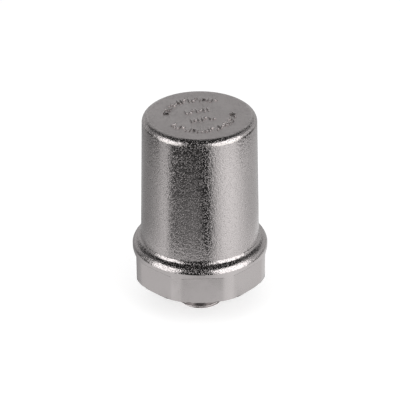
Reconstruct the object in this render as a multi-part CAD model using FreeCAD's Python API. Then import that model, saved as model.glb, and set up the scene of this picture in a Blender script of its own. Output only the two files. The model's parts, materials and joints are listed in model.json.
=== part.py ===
import FreeCAD, Part
import math
import os

# Water hammer arrestor of the spring type, with a male pipe thread at its foot.
# All lengths are in millimetres and all angles in degrees. The origin is the centre of the
# spigot's lower end, and +Z runs up the axis to the closed top of the bell. One wrench flat
# faces -Y. The piston is modelled at rest on its ledge, and slides up by the stroke.
# A turned or bored form is an outline of (radius, height, corner radius) points spun about
# the axis, so a corner radius of 0 is a sharp corner.

# Spigot with a G 1/2 male thread, drawn at the thread's outside diameter
THREAD_D = 20.955
THREAD_DEPTH = 1.162
SPIGOT_LEN = 14.0
SPIGOT_CHAMFER = 0.8
RELIEF_W = 2.0
RELIEF_FILLET = 0.4
WATER_BORE_D = 12.5

# Bore of the bell, its piston stop and its threaded mouth
BORE_D = 42.0
STROKE = 18.0
STOP_STEP = 2.2
MOUTH_STEP = 2.0
MOUTH_DEPTH = 10.5
MOUTH_CHAMFER = 1.0
LEAD_IN_W = 0.8
LEAD_IN_H = 1.6

# Outside of the bell
BODY_H = 75.0
WALL = 4.3
ROOF = 4.0
ROOF_CORNER_R = 1.5
DRAFT_ANGLE = 1.25
TOP_EDGE_R = 3.0

# Shoulder and collar with the wrench flats, which come out at 55 mm across
SHOULDER_W = 3.65
SHOULDER_ANGLE = 27.0
SHOULDER_BROW_H = 1.95
SHOULDER_BROW_ANGLE = 75.0
SHOULDER_BROW_R = 3.9
SHOULDER_FOOT_R = 2.2
COLLAR_H = 14.4
COLLAR_DRAFT = 0.25
LAND_H = 2.5
FLAT_COUNT = 8
FLAT_DEPTH = 1.45
FLAT_RUNOUT_ANGLE = 60.0
COLLAR_CHAMFER_W = 0.8
COLLAR_CHAMFER_H = 0.5

# Connector base, screwed into the mouth
BASE_INSET = 0.5
SCREW_GAP = 0.05
BASE_CHAMFER = 0.8
NECK_H = 4.5
NECK_GAP = 0.05
NECK_GROOVE_W = 2.6
NECK_GROOVE_DEPTH = 1.5
NECK_CHAMFER = 0.4
LEDGE_W = 5.0
WATER_RECESS_H = 3.0
WATER_RECESS_R = 1.0
SPANNER_HOLE_D = 5.0
SPANNER_HOLE_DEPTH = 4.5
SPANNER_HOLE_PCD = 34.0
SPANNER_HOLE_COUNT = 2

# Piston
PISTON_GAP = 0.08
EDGE_LAND = 1.6
MID_LAND = 1.9
SEAL_GROOVE_W = 3.4
SEAL_GROOVE_DEPTH = 2.22
GUIDE_GROOVE_W = 4.2
GUIDE_GROOVE_DEPTH = 1.3
SKIRT_CORE = 1.45
PISTON_FLOOR = 4.5
PISTON_RECESS_H = 1.5
PISTON_RECESS_D = 28.0
PISTON_CHAMFER = 0.8
PISTON_FILLET = 0.8
BOSS_H = 6.0
BOSS_WALL = 4.5
BOSS_CHAMFER = 1.2

# Seals and guide band
SEAL_GAP = 0.04
SEAT_GAP = 0.02
SEAL_SIDE_PLAY = 0.2
GUIDE_GAP = 0.06
GUIDE_SIDE_PLAY = 0.1
GUIDE_SPLIT_W = 0.8
GUIDE_SPLIT_ANGLE = 45.0

# Spring and its seat under the roof
WIRE_D = 4.5
SPRING_PLAY = 0.5
ACTIVE_TURNS = 4.0
END_TURNS = 1.0
END_COIL_GAP = 0.15
GROUND_SHARE = 0.35
POLES_PER_TURN = 8
SEAT_T = 1.5
SEAT_COLLAR_H = 4.0
SEAT_BEND_R = 0.8
SEAT_EDGE_GAP = 0.2

# Radii that follow from the sizes above
bore_r = BORE_D / 2
mouth_r = bore_r + MOUTH_STEP
chamber_r = bore_r - STOP_STEP
wall_foot_r = bore_r + WALL
rim_r = wall_foot_r + SHOULDER_W
flat_apothem = rim_r - FLAT_DEPTH
thread_r = THREAD_D / 2
water_r = WATER_BORE_D / 2
base_r = mouth_r - SCREW_GAP
neck_r = bore_r - NECK_GAP
piston_r = bore_r - PISTON_GAP
seal_groove_r = piston_r - SEAL_GROOVE_DEPTH
guide_groove_r = piston_r - GUIDE_GROOVE_DEPTH
pocket_r = seal_groove_r - SKIRT_CORE
spring_r = pocket_r - SPRING_PLAY - WIRE_D / 2
boss_r = spring_r - WIRE_D / 2 - SPRING_PLAY

# Heights that follow from the sizes above
collar_z = SPIGOT_LEN
rim_z = collar_z + COLLAR_H
flats_z = rim_z - LAND_H
top_z = collar_z + BODY_H
roof_z = top_z - ROOF
base_z = collar_z + BASE_INSET
step_z = collar_z + MOUTH_DEPTH
ledge_z = step_z + NECK_H
piston_h = 2 * EDGE_LAND + 2 * SEAL_GROOVE_W + 2 * MID_LAND + GUIDE_GROOVE_W
lower_groove_z = ledge_z + EDGE_LAND
upper_groove_z = lower_groove_z + SEAL_GROOVE_W + MID_LAND
guide_groove_z = upper_groove_z + SEAL_GROOVE_W + MID_LAND
piston_top_z = ledge_z + piston_h
stop_z = piston_top_z + STROKE
pocket_z = ledge_z + PISTON_RECESS_H + PISTON_FLOOR
seat_z = roof_z - SEAT_T
neck_groove_z = step_z + (NECK_H - NECK_GROOVE_W) / 2

AXIS = FreeCAD.Vector(0, 0, 1)
CENTRE = FreeCAD.Vector(0, 0, 0)


def rounded_wire(outline):
    """Closed wire in the XZ plane through (radius, height, corner radius) points."""
    count = len(outline)
    points = [FreeCAD.Vector(r, 0, z) for r, z, _ in outline]

    def room(i, j):
        """Length of the edge between two corners that the rounding of the first may take."""
        share = 0.5 if outline[j][2] else 1
        return share * points[i].distanceToPoint(points[j])

    entries, exits, arcs = [], [], []
    for i, (_, _, corner_r) in enumerate(outline):
        point = points[i]
        if not corner_r:
            entries.append(point)
            exits.append(point)
            arcs.append(None)
            continue
        before, after = (i - 1) % count, (i + 1) % count
        back = (points[before] - point).normalize()
        ahead = (points[after] - point).normalize()
        half = back.getAngle(ahead) / 2
        inward = (back + ahead).normalize()
        fillet = min(corner_r, room(i, before) * math.tan(half), room(i, after) * math.tan(half))
        entries.append(point + back * (fillet / math.tan(half)))
        exits.append(point + ahead * (fillet / math.tan(half)))
        middle = point + inward * (fillet / math.sin(half) - fillet)
        arcs.append(Part.Arc(entries[i], middle, exits[i]).toShape())
    edges = []
    for i in range(count):
        if arcs[i]:
            edges.append(arcs[i])
        start, end = exits[i], entries[(i + 1) % count]
        if start.distanceToPoint(end) > 1e-6:
            edges.append(Part.LineSegment(start, end).toShape())
    return Part.Wire(edges)


def turned(outline):
    """Solid spun about the axis from a rounded outline."""
    return Part.Face(rounded_wire(outline)).revolve(CENTRE, AXIS, 360).Solids[0]


def grooved_side(radius, grooves):
    """Outline points up a turned side with (start height, width, bottom radius) grooves."""
    side = []
    for start, width, bottom_r in grooves:
        side += [
            (radius, start, 0),
            (bottom_r, start, 0),
            (bottom_r, start + width, 0),
            (radius, start + width, 0),
        ]
    return side


def around(shape, count, first_angle):
    """Copies of a shape spread evenly about the axis."""
    copies = []
    for k in range(count):
        copy = shape.copy()
        copy.rotate(CENTRE, AXIS, first_angle + 360 / count * k)
        copies.append(copy)
    return copies


def bell_outside():
    """Forged outside: round collar, ogee shoulder, drafted wall and rounded top edge."""
    brow_r = rim_r - SHOULDER_BROW_H / math.tan(math.radians(SHOULDER_BROW_ANGLE))
    brow_z = rim_z + SHOULDER_BROW_H
    slope = math.tan(math.radians(SHOULDER_ANGLE))
    foot_corner_z = brow_z + (brow_r - wall_foot_r) * slope
    top_r = wall_foot_r - (top_z - foot_corner_z) * math.tan(math.radians(DRAFT_ANGLE))
    foot_r = rim_r - COLLAR_DRAFT
    return turned([
        (0, collar_z, 0),
        (foot_r - COLLAR_CHAMFER_W, collar_z, 0),
        (foot_r, collar_z + COLLAR_CHAMFER_H, 0),
        (rim_r, rim_z, 0),
        (brow_r, brow_z, SHOULDER_BROW_R),
        (wall_foot_r, foot_corner_z, SHOULDER_FOOT_R),
        (top_r, top_z, TOP_EDGE_R),
        (0, top_z, 0),
    ])


def flat_cutter():
    """Block that cuts one wrench flat on the +X side, with its run-out into the land."""
    reach = rim_r + FLAT_DEPTH
    rise = (reach - flat_apothem) / math.tan(math.radians(FLAT_RUNOUT_ANGLE))
    below = collar_z - FLAT_DEPTH
    profile = Part.makePolygon([
        FreeCAD.Vector(flat_apothem, -rim_r, below),
        FreeCAD.Vector(flat_apothem, -rim_r, flats_z),
        FreeCAD.Vector(reach, -rim_r, flats_z + rise),
        FreeCAD.Vector(reach, -rim_r, below),
        FreeCAD.Vector(flat_apothem, -rim_r, below),
    ])
    return Part.Face(profile).extrude(FreeCAD.Vector(0, 2 * rim_r, 0))


def bell_cavity():
    """Threaded mouth, piston bore with its stop, and the spring chamber above."""
    return turned([
        (0, collar_z, 0),
        (mouth_r + MOUTH_CHAMFER, collar_z, 0),
        (mouth_r, collar_z + MOUTH_CHAMFER, 0),
        (mouth_r, step_z, 0),
        (bore_r + LEAD_IN_W, step_z, 0),
        (bore_r, step_z + LEAD_IN_H, 0),
        (bore_r, stop_z, 0),
        (chamber_r, stop_z, 0),
        (chamber_r, roof_z, ROOF_CORNER_R),
        (0, roof_z, 0),
    ])


def bell_casing():
    """Forged bell and octagon collar in one piece, bored out from below."""
    flats = around(flat_cutter(), FLAT_COUNT, -90)
    return bell_outside().cut(flats).cut(bell_cavity())


def connector_base():
    """Turned base: threaded spigot, screwed disc, sealing neck, piston ledge and water way."""
    relief_r = thread_r - THREAD_DEPTH
    relief_z = collar_z - RELIEF_W
    recess_r = neck_r - LEDGE_W
    groove = (neck_groove_z, NECK_GROOVE_W, neck_r - NECK_GROOVE_DEPTH)
    body = turned([
        (water_r, 0, 0),
        (thread_r - SPIGOT_CHAMFER, 0, 0),
        (thread_r, SPIGOT_CHAMFER, 0),
        (thread_r, relief_z, 0),
        (relief_r, relief_z + THREAD_DEPTH, RELIEF_FILLET),
        (relief_r, base_z, RELIEF_FILLET),
        (base_r - BASE_CHAMFER, base_z, 0),
        (base_r, base_z + BASE_CHAMFER, 0),
        (base_r, step_z, 0),
        (neck_r, step_z, 0),
        *grooved_side(neck_r, [groove]),
        (neck_r, ledge_z - NECK_CHAMFER, 0),
        (neck_r - NECK_CHAMFER, ledge_z, 0),
        (recess_r, ledge_z, 0),
        (recess_r, ledge_z - WATER_RECESS_H, WATER_RECESS_R),
        (water_r, ledge_z - WATER_RECESS_H, 0),
    ])
    hole = Part.makeCylinder(
        SPANNER_HOLE_D / 2,
        SPANNER_HOLE_DEPTH,
        FreeCAD.Vector(SPANNER_HOLE_PCD / 2, 0, base_z),
        AXIS,
    )
    return body.cut(around(hole, SPANNER_HOLE_COUNT, 0))


def seal_ring(inner_r, outer_r, start_z, width):
    """O-ring as it sits squeezed between two walls: flat on both, round at its sides."""
    corner = (outer_r - inner_r) / 2 * 0.98
    return turned([
        (inner_r, start_z, corner),
        (outer_r, start_z, corner),
        (outer_r, start_z + width, corner),
        (inner_r, start_z + width, corner),
    ])


def casing_o_ring():
    """Seal between the neck of the base and the bell."""
    inner_r = neck_r - NECK_GROOVE_DEPTH + SEAT_GAP
    start_z = neck_groove_z + SEAL_SIDE_PLAY / 2
    return seal_ring(inner_r, bore_r - SEAT_GAP, start_z, NECK_GROOVE_W - SEAL_SIDE_PLAY)


def piston_seal(groove_z):
    """Seal in one of the piston's two seal grooves."""
    start_z = groove_z + SEAL_SIDE_PLAY / 2
    width = SEAL_GROOVE_W - SEAL_SIDE_PLAY
    return seal_ring(seal_groove_r + SEAT_GAP, bore_r - SEAL_GAP, start_z, width)


def piston_guide_ring():
    """Guide band with a slanted split, so that it can be sprung over the piston."""
    inner_r = guide_groove_r + SEAT_GAP
    outer_r = bore_r - GUIDE_GAP
    width = GUIDE_GROOVE_W - GUIDE_SIDE_PLAY
    start_z = guide_groove_z + GUIDE_SIDE_PLAY / 2
    band = turned([
        (inner_r, start_z, 0),
        (outer_r, start_z, 0),
        (outer_r, start_z + width, 0),
        (inner_r, start_z + width, 0),
    ])
    reach = 2 * width
    blade = Part.makeBox(
        2 * (outer_r - inner_r),
        GUIDE_SPLIT_W,
        2 * reach,
        FreeCAD.Vector(inner_r - (outer_r - inner_r) / 2, -GUIDE_SPLIT_W / 2, -reach),
    )
    blade.rotate(CENTRE, FreeCAD.Vector(1, 0, 0), GUIDE_SPLIT_ANGLE)
    blade.translate(FreeCAD.Vector(0, 0, start_z + width / 2))
    return band.cut(blade)


def piston():
    """Cup between water and air, with seal grooves, a guide groove and a spring boss."""
    recess_r = PISTON_RECESS_D / 2
    recess_z = ledge_z + PISTON_RECESS_H
    boss_z = pocket_z + BOSS_H
    core_r = boss_r - BOSS_WALL
    grooves = [
        (lower_groove_z, SEAL_GROOVE_W, seal_groove_r),
        (upper_groove_z, SEAL_GROOVE_W, seal_groove_r),
        (guide_groove_z, GUIDE_GROOVE_W, guide_groove_r),
    ]
    return turned([
        (0, recess_z, 0),
        (recess_r, recess_z, PISTON_FILLET),
        (recess_r, ledge_z, 0),
        (piston_r - PISTON_CHAMFER, ledge_z, 0),
        (piston_r, ledge_z + PISTON_CHAMFER, 0),
        *grooved_side(piston_r, grooves),
        (piston_r, piston_top_z - PISTON_CHAMFER, 0),
        (piston_r - PISTON_CHAMFER, piston_top_z, 0),
        (pocket_r, piston_top_z, 0),
        (pocket_r, pocket_z, PISTON_FILLET),
        (boss_r, pocket_z, PISTON_FILLET),
        (boss_r, boss_z - BOSS_CHAMFER, 0),
        (boss_r - BOSS_CHAMFER, boss_z, 0),
        (core_r, boss_z, 0),
        (core_r, pocket_z, PISTON_FILLET),
        (0, pocket_z, 0),
    ])


def spring():
    """Compression spring with close end coils and ends ground flat."""
    start = GROUND_SHARE * WIRE_D
    length = seat_z - pocket_z
    end_pitch = WIRE_D + END_COIL_GAP
    end_rise = END_TURNS * end_pitch
    active_pitch = (length - 2 * start - 2 * end_rise) / ACTIVE_TURNS
    turns = ACTIVE_TURNS + 2 * END_TURNS

    def height(turn):
        """Height of the wire's centre above the lower end after so many turns."""
        lower = min(turn, END_TURNS) * end_pitch
        active = min(max(turn - END_TURNS, 0), ACTIVE_TURNS) * active_pitch
        upper = max(turn - END_TURNS - ACTIVE_TURNS, 0) * end_pitch
        return start + lower + active + upper

    # The wire's centre line is drawn on the unrolled cylinder, as angle against height, and
    # wound on in half turns
    steps = round(turns * POLES_PER_TURN)
    poles = []
    for k in range(steps + 1):
        turn = turns * k / steps
        poles.append(FreeCAD.Base.Vector2d(math.radians(360 * turn), height(turn)))
    unrolled = Part.Geom2d.BSplineCurve2d()
    unrolled.buildFromPoles(poles, False, 3)
    cylinder = Part.Cylinder()
    cylinder.Radius = spring_r
    halves = round(2 * turns)
    span = (unrolled.LastParameter - unrolled.FirstParameter) / halves
    begins = [unrolled.FirstParameter + span * k for k in range(halves)]
    centre_line = [unrolled.toShape(cylinder, begin, begin + span) for begin in begins]
    first = centre_line[0]
    section = Part.makeCircle(
        WIRE_D / 2,
        first.valueAt(first.FirstParameter),
        first.tangentAt(first.FirstParameter),
    )
    wire = Part.Wire(centre_line).makePipeShell([Part.Wire([section])], True, True)
    half_w = spring_r + WIRE_D
    slab = Part.makeBox(
        2 * half_w, 2 * half_w, length, FreeCAD.Vector(-half_w, -half_w, 0)
    )
    ground = wire.common(slab).Solids[0]
    ground.translate(FreeCAD.Vector(0, 0, pocket_z))
    return ground


def spring_seat():
    """Pressed washer under the roof, with a collar that centres the spring."""
    flange_r = chamber_r - ROOF_CORNER_R - SEAT_EDGE_GAP
    collar_r = boss_r
    collar_end_z = seat_z - SEAT_COLLAR_H
    return turned([
        (flange_r, seat_z, 0),
        (flange_r, roof_z, 0),
        (collar_r - SEAT_T, roof_z, SEAT_T + SEAT_BEND_R),
        (collar_r - SEAT_T, collar_end_z, 0),
        (collar_r, collar_end_z, 0),
        (collar_r, seat_z, SEAT_BEND_R),
    ])


PIECES = {
    "bell_casing": bell_casing,
    "connector_base": connector_base,
    "casing_o_ring": casing_o_ring,
    "piston": piston,
    "piston_o_ring_lower": lambda: piston_seal(lower_groove_z),
    "piston_o_ring_upper": lambda: piston_seal(upper_groove_z),
    "piston_guide_ring": piston_guide_ring,
    "spring": spring,
    "spring_seat": spring_seat,
}

os.makedirs("parts", exist_ok=True)
for name, make in PIECES.items():
    solid = make().Solids[0]
    solid.exportStep(f"parts/{name}.step")
    print(name, solid.ShapeType, len(solid.Solids), solid.isValid(), round(solid.Volume, 2))
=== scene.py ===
"""Water hammer arrestor with a forged and plated bell, dressed for a plain studio photograph.

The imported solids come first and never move. Every piece gets a finer mesh here, which stands in
the same place. Everything is in metres, with +Z up the axis and the origin at the centre of the
spigot's lower end. Sizes in millimetres are multiplied by MM.
"""

import json
import logging
import math
from collections.abc import Callable, Sequence
from dataclasses import dataclass
from enum import Enum

import bpy
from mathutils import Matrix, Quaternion, Vector


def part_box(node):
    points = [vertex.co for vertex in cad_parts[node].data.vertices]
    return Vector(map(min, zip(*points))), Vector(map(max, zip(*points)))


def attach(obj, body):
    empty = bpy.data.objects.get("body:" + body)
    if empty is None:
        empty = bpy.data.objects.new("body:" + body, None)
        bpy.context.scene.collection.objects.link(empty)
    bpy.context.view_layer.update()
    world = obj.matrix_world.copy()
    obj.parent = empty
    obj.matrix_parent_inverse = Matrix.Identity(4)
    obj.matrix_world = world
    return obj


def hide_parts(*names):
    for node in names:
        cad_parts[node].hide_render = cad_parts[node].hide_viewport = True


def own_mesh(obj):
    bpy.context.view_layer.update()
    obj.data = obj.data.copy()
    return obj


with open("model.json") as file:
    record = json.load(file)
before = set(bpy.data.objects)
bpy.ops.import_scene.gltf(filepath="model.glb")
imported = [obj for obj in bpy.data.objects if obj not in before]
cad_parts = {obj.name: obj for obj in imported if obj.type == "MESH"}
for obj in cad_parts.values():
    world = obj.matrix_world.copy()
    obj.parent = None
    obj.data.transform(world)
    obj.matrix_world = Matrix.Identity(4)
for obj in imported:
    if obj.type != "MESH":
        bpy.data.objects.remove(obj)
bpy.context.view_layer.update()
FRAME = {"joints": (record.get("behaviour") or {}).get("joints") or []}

MM = 0.001
WELD = 0.001 * MM
SEAL_GAP = 0.02 * MM
HOUSING = "housing"
PISTON_SET = "piston_set"
STROKE = FRAME["joints"][0]["range_m"][1]

Colour = tuple[float, float, float]
Piece = bpy.types.Object
Material = bpy.types.Material
NodeTree = bpy.types.NodeTree
Levels = tuple[tuple[float, float], ...]
Socket = bpy.types.NodeSocket
Finishes = dict[str, Material]

WHITE = (1.0, 1.0, 1.0)

log = logging.getLogger("arrestor")


class Band(Enum):
    """Surfaces of the bell by their finish, in the order of its material slots. The run-out band is
    painted shade.
    """

    FORGED = "forged_plating"
    TURNED = "machined_plating"
    FLATS = "planed_plating"
    BORED = "bored_plating"
    CROWN = "crown_plating"
    # Dark painted shade under the land's edge, over the flats' run-outs.
    RUNOUT_SHADE = "runout_painted_shade"
    EDGE = "edge_plating"


class Mark(Enum):
    """Kinds of plain raised mark on the top of the bell."""

    BAR = "bar"
    DASH = "dash"
    PIP = "pip"


@dataclass(frozen=True)
class Corner:
    """One corner of a turned outline, in metres.

    Attributes:
        radius: Distance from the axis.
        height: Height above the spigot's end.
        round_r: Radius that rounds the corner, or 0 where it is sharp.
    """

    radius: float
    height: float
    round_r: float = 0.0


def clear_selection() -> None:
    """Leaves edit mode and deselects everything, so that no operator acts on too much."""
    if bpy.context.object and bpy.context.object.mode != "OBJECT":
        bpy.ops.object.mode_set(mode="OBJECT")
    bpy.ops.object.select_all(action="DESELECT")


def make_active(piece: Piece) -> None:
    """Selects one piece alone and makes it the active one.

    Args:
        piece: Object to select.
    """
    clear_selection()
    piece.select_set(True)
    bpy.context.view_layer.objects.active = piece


def place_in_mesh(piece: Piece) -> None:
    """Moves a piece's place, turn and scale into its mesh, so that its object is at the origin."""
    make_active(piece)
    bpy.ops.object.transform_apply(location=True, rotation=True, scale=True)


def apply_modifier(piece: Piece, kind: str, **values: object) -> None:
    """Adds a modifier to a piece and applies it.

    Args:
        piece: Mesh object to change.
        kind: Modifier type.
        **values: Modifier settings by name.
    """
    make_active(piece)
    modifier = piece.modifiers.new(kind.lower(), kind)
    for name, value in values.items():
        setattr(modifier, name, value)
    bpy.ops.object.modifier_apply(modifier=modifier.name)


def smooth(piece: Piece, angle_deg: float = 35.0) -> None:
    """Shades a piece smooth up to an angle, and keeps its broad faces flat.

    Args:
        piece: Mesh object to shade.
        angle_deg: Largest turn that still counts as one surface.
    """
    make_active(piece)
    bpy.ops.object.shade_smooth_by_angle(angle=math.radians(angle_deg))
    apply_modifier(piece, "WEIGHTED_NORMAL", keep_sharp=True, weight=100)


def face_outwards(fill: bool) -> None:
    """Turns all faces of the mesh in edit mode outwards.

    Args:
        fill: True if its open ends are filled first.
    """
    bpy.ops.mesh.select_all(action="SELECT")
    if fill:
        bpy.ops.mesh.fill_holes(sides=0)
        bpy.ops.mesh.select_all(action="SELECT")
    bpy.ops.mesh.normals_make_consistent(inside=False)


def set_radius(vertex: bpy.types.MeshVertex, radius: float) -> None:
    """Moves a vertex straight out or in, to a distance from the axis.

    Args:
        vertex: Vertex to move.
        radius: Its new distance.
    """
    share = radius / math.hypot(vertex.co.x, vertex.co.y)
    vertex.co.x *= share
    vertex.co.y *= share


def soft_min(first: float, second: float, blend: float) -> float:
    """Smaller of two lengths, rounded off where they are within a blend of each other."""
    share = min(max(0.5 + 0.5 * (second - first) / blend, 0), 1)
    return second + (first - second) * share - blend * share * (1 - share)


def rounded_points(outline: Sequence[Corner], step_deg: float) -> list[Vector]:
    """Points along a turned outline, with its corners rounded.

    Args:
        outline: Corners in order, from one end of the outline to the other.
        step_deg: Largest turn between two points of a rounded corner.

    Returns:
        Points in the XZ plane.
    """
    corners = [Vector((corner.radius, 0, corner.height)) for corner in outline]
    points: list[Vector] = []
    for index, corner in enumerate(outline):
        here = corners[index]
        if not corner.round_r:
            points.append(here)
            continue
        back = (corners[index - 1] - here).normalized()
        ahead = (corners[(index + 1) % len(corners)] - here).normalized()
        half = back.angle(ahead) / 2
        centre = here + (back + ahead).normalized() * (corner.round_r / math.sin(half))
        start = here + back * (corner.round_r / math.tan(half)) - centre
        end = here + ahead * (corner.round_r / math.tan(half)) - centre
        turn = start.angle(end)
        steps = max(2, math.ceil(turn / math.radians(step_deg)))
        for step in range(steps + 1):
            share = step / steps
            mixed = start * math.sin(turn * (1 - share)) + end * math.sin(turn * share)
            points.append(centre + mixed / math.sin(turn))
    return points


def join_ends(piece: Piece) -> None:
    """Joins the first and the last vertex of an outline by an edge, in edit mode.

    Args:
        piece: Mesh object with the outline.
    """
    bpy.ops.mesh.select_all(action="DESELECT")
    bpy.ops.object.mode_set(mode="OBJECT")
    piece.data.vertices[0].select = True
    piece.data.vertices[-1].select = True
    bpy.ops.object.mode_set(mode="EDIT")
    bpy.ops.mesh.edge_face_add()


def spun(
    name: str,
    outline: Sequence[Corner],
    columns: int,
    ring: bool = True,
    step_deg: float = 10.0,
    angle: float = math.tau,
) -> Piece:
    """Turned piece, made by extruding an outline point by point and spinning it.

    Args:
        name: Name of the new object.
        outline: Corners of the outline.
        columns: Number of columns round the axis.
        ring: True if the outline closes on itself, clear of the axis.
        step_deg: Largest turn between two points of a rounded corner.
        angle: How far round the axis the piece goes.

    Returns:
        The new mesh object, closed and with its faces pointing outwards.
    """
    points = rounded_points(outline, step_deg)
    clear_selection()
    bpy.ops.mesh.primitive_plane_add(size=MM, location=points[0])
    piece = bpy.context.object
    piece.name = piece.data.name = name
    bpy.ops.object.mode_set(mode="EDIT")
    bpy.ops.mesh.merge(type="CENTER")
    for before, after in zip(points, points[1:]):
        bpy.ops.mesh.extrude_region_move(TRANSFORM_OT_translate={"value": after - before})
    if ring:
        join_ends(piece)
    place_in_mesh(piece)
    apply_modifier(piece, "SCREW", angle=angle, steps=columns, render_steps=columns)
    bpy.ops.object.mode_set(mode="EDIT")
    bpy.ops.mesh.select_all(action="SELECT")
    bpy.ops.mesh.remove_doubles(threshold=WELD)
    face_outwards(fill=angle < math.tau)
    bpy.ops.object.mode_set(mode="OBJECT")
    return piece


def hand_over(
    piece: Piece,
    body: str,
    node: str,
    materials: Sequence[Material],
) -> Piece:
    """Dresses a piece, attaches it to the body that it moves with, and hides the solid that it
    stands for.

    Args:
        piece: Finished mesh object.
        body: Body that it moves with.
        node: Solid that it stands for.
        materials: Its materials, in the order of their numbers on the piece's faces.

    Returns:
        The same piece.
    """
    for material in materials:
        piece.data.materials.append(material)
    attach(piece, body)
    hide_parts(node)
    return piece


def rgba(colour: Colour, level: float = 1.0) -> tuple[float, float, float, float]:
    """Colour with full alpha, brightened or darkened by a level."""
    return (colour[0] * level, colour[1] * level, colour[2] * level, 1.0)


class NodeSketch:
    """Adds nodes to a shader tree and wires them up."""

    def __init__(self, tree: NodeTree) -> None:
        """Starts on an emptied tree."""
        self.tree = tree
        tree.nodes.clear()

    def set_input(self, socket: Socket, value: object) -> None:
        """Fills one input.

        Args:
            socket: The input.
            value: Output to link to it, or plain value to write there.
        """
        if isinstance(value, Socket):
            self.tree.links.new(value, socket)
        else:
            socket.default_value = value

    def add(self, kind: str, inputs: dict | None = None, **values: object) -> bpy.types.Node:
        """Adds one node.

        Args:
            kind: Node type, without the word ShaderNode in front.
            inputs: Value or output for each input, by the input's name or number.
            **values: Node settings by name.

        Returns:
            The new node.
        """
        node = self.tree.nodes.new(kind if kind.startswith("NodeGroup") else "ShaderNode" + kind)
        for name, value in values.items():
            setattr(node, name, value)
        for name, value in (inputs or {}).items():
            self.set_input(node.inputs[name], value)
        return node

    def maths(self, operation: str, *terms: object) -> Socket:
        """Result of a Math node on values or outputs."""
        return self.add("Math", dict(enumerate(terms)), operation=operation).outputs[0]

    def vector(self, operation: str, *terms: object) -> Socket:
        """Number that a Vector Math node gives for vectors or outputs."""
        terms = dict(enumerate(terms))
        return self.add("VectorMath", terms, operation=operation).outputs["Value"]

    def ramp(
        self, value: Socket, start: float, end: float, low: float = 0.0, high: float = 1.0
    ) -> Socket:
        """Smooth step from low to high while a value goes from start to end."""
        inputs = {"Value": value, "From Min": start, "From Max": end, "To Min": low, "To Max": high}
        return self.add("MapRange", inputs, interpolation_type="SMOOTHSTEP").outputs["Result"]

    def between(self, share: Socket, first: object, second: object) -> Socket:
        """Mixes two colours.

        Args:
            share: How much of the second colour shows, from 0 to 1.
            first: Colour or output.
            second: Colour or output.

        Returns:
            The mixed colour.
        """
        node = self.add("Mix", data_type="RGBA")
        for number, value in zip((0, 6, 7), (share, first, second)):
            self.set_input(node.inputs[number], value)
        return node.outputs[2]

    def noise(
        self, place: Socket, size: object, detail: float = 2.0, roughness: float = 0.5
    ) -> Socket:
        """Adds a noise.

        Args:
            place: Coordinates.
            size: Size of its features, in metres.
            detail: Number of finer layers in it.
            roughness: Share of each finer layer.

        Returns:
            The noise, from 0 to 1.
        """
        inputs = {"Vector": place, "Scale": self.maths("DIVIDE", 1.0, size)}
        inputs |= {"Detail": detail, "Roughness": roughness}
        return self.add("TexNoise", inputs).outputs["Fac"]


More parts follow.
